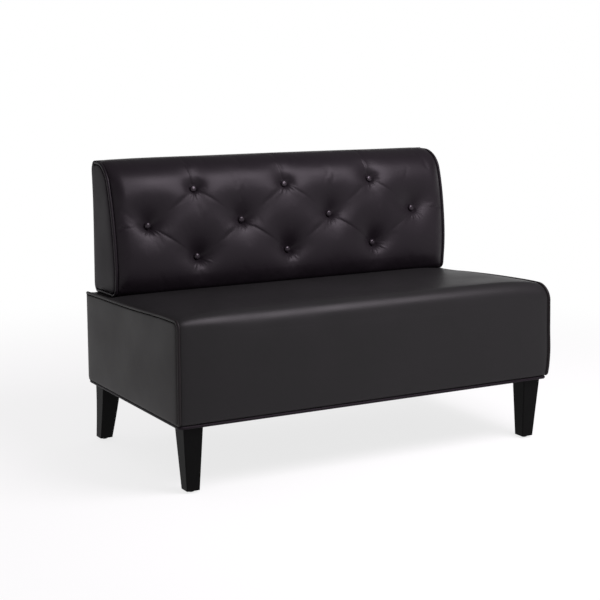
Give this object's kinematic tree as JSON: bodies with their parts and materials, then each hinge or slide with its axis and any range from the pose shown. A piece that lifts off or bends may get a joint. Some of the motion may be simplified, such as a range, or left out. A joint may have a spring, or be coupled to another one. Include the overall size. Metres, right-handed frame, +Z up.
{
  "type": "high-back dining bench",
  "caption": "Upholstered dining bench with a padded seat box on tapered wooden legs and an upright back tufted with covered buttons in a diamond pattern.",
  "frame": {"origin": "On the floor under the middle of the outline.", "axes": "+X to the right along the width as the sitter in front sees it, +Y from the front to the rear, +Z up."},
  "size_m": [1.2, 0.661, 0.8273],
  "materials": {
    "upholstery_leather": "black faux leather with a soft semi-gloss",
    "leg_wood": "wood stained black under a satin lacquer",
    "plywood": "bare birch plywood and softwood",
    "foam": "polyurethane foam and wadding",
    "felt": "pressed felt",
    "dust_cloth": "black non-woven cloth",
    "twine": "waxed nylon twine",
    "zinc_steel": "zinc-plated steel",
    "glide_plastic": "moulded black plastic"
  },
  "bodies": {
    "root": {"leg_front_left": "leg_wood", "leg_front_right": "leg_wood", "leg_rear_left": "leg_wood", "leg_rear_right": "leg_wood", "leg_glides": "glide_plastic", "hanger_bolts": "zinc_steel", "tee_nuts": "zinc_steel", "corner_plates": "plywood", "corner_blocks": "plywood", "seat_front_rail": "plywood", "seat_rear_rail": "plywood", "seat_side_rail_left": "plywood", "seat_side_rail_right": "plywood", "seat_stretcher": "plywood", "seat_springs": "zinc_steel", "spring_clips": "zinc_steel", "spring_felt": "felt", "seat_foam": "foam", "seat_front_pad": "foam", "seat_rear_pad": "foam", "seat_side_pad_left": "foam", "seat_side_pad_right": "foam", "seat_top_cover": "upholstery_leather", "seat_rear_cover": "upholstery_leather", "seat_side_cover_left": "upholstery_leather", "seat_side_cover_right": "upholstery_leather", "seat_welt_left": "upholstery_leather", "seat_welt_right": "upholstery_leather", "base_cord": "upholstery_leather", "dust_cover": "dust_cloth", "tail_blocks": "plywood", "tail_bolts": "zinc_steel", "tail_nuts": "zinc_steel", "tail_washers": "zinc_steel", "back_rib_left": "plywood", "back_rib_right": "plywood", "back_end_board_left": "plywood", "back_end_board_right": "plywood", "back_top_rail": "plywood", "back_middle_rail": "plywood", "back_bottom_rail": "plywood", "back_toe_rail": "plywood", "tufting_board": "plywood", "back_foam": "foam", "back_end_pad_left": "foam", "back_end_pad_right": "foam", "back_front_cover": "upholstery_leather", "back_rear_cover": "upholstery_leather", "back_end_cover_left": "upholstery_leather", "back_end_cover_right": "upholstery_leather", "back_welt_left": "upholstery_leather", "back_welt_right": "upholstery_leather", "tuft_buttons": "upholstery_leather", "tuft_twines": "twine", "tuft_washers": "zinc_steel"}
  },
  "joints": []
}
